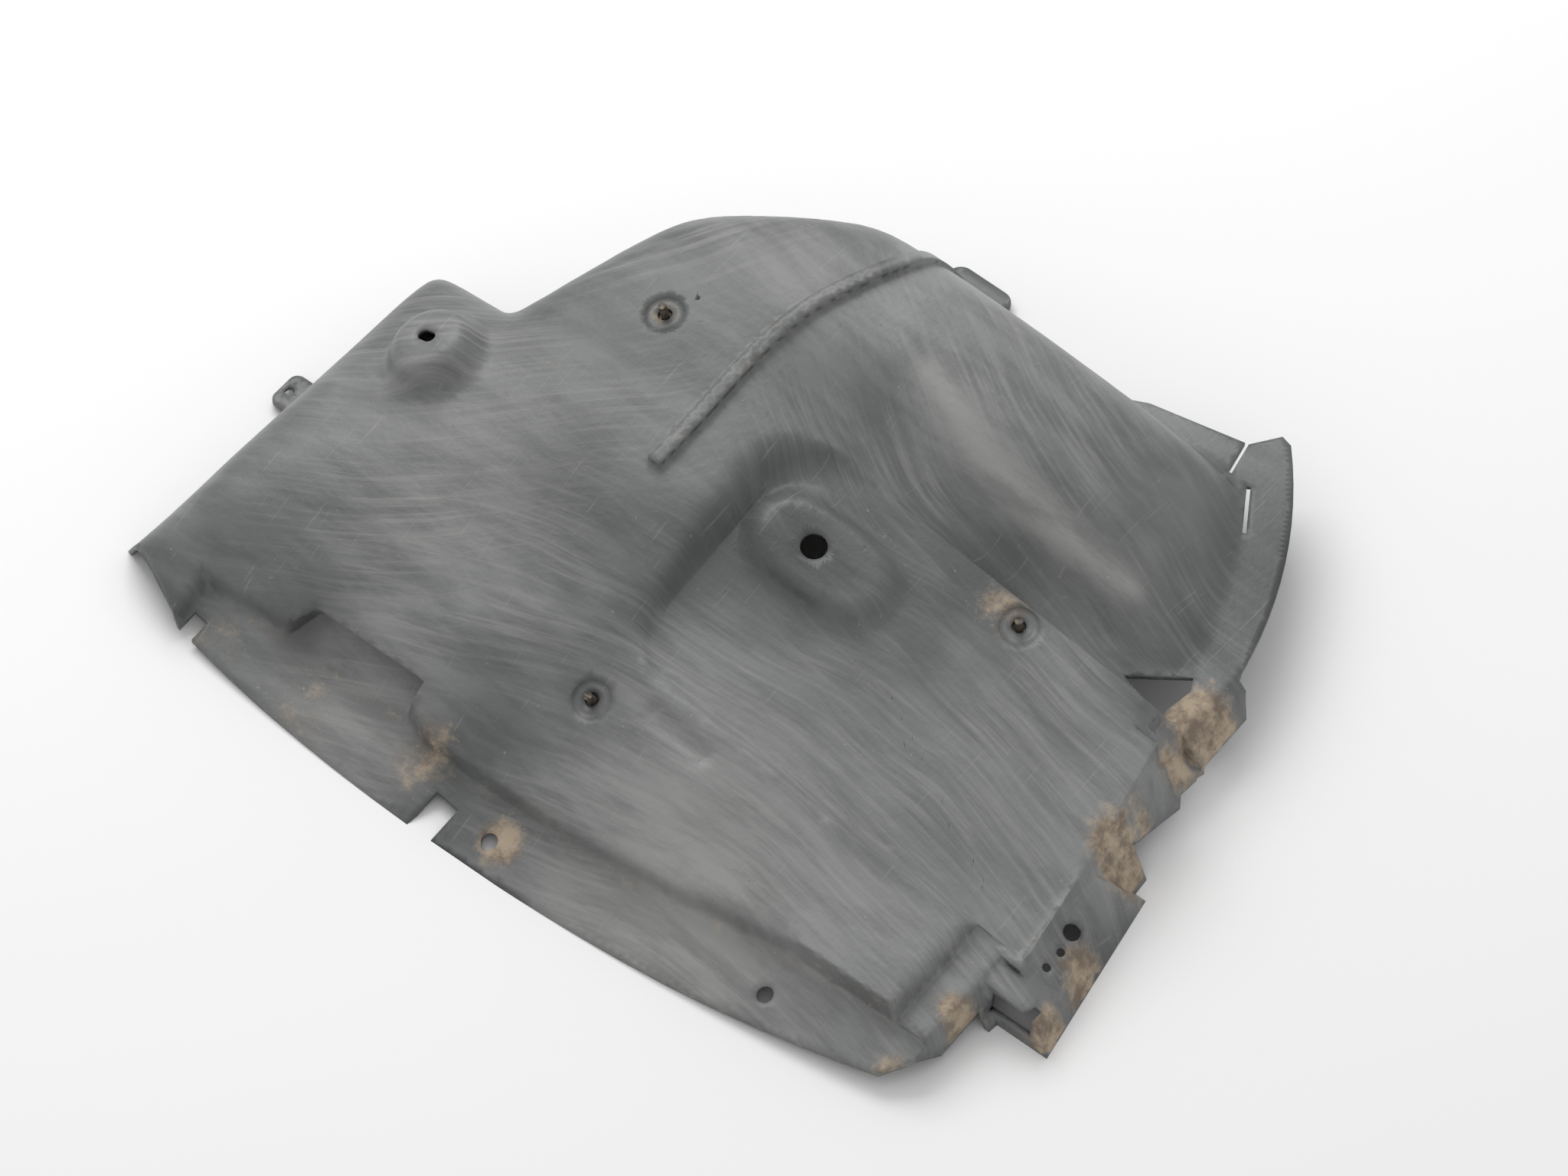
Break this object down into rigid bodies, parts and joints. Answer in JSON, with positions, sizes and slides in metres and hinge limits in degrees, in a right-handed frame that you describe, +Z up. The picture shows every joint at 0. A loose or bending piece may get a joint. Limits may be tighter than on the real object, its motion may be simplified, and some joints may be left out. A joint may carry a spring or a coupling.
{
  "type": "wheel arch liner",
  "caption": "Moulded plastic wheel arch liner: a domed sheet with a flat recessed tongue, raised bosses, a slim rib, a fender flange with screw holes and fixing screws left in place.",
  "frame": {"origin": "middle of the part's plan box, on the floor it lies on", "axes": "+X along the fender edge towards the box at its end, +Y from the fender flange to the back wall, +Z up"},
  "size_m": [0.652, 0.519, 0.138],
  "materials": {
    "moulded_plastic": "matte, weathered and dusty",
    "screw_steel": "dull, dirty steel"
  },
  "bodies": {
    "root": {"liner_shell": "moulded_plastic", "fixing_screws": "screw_steel"}
  },
  "joints": []
}
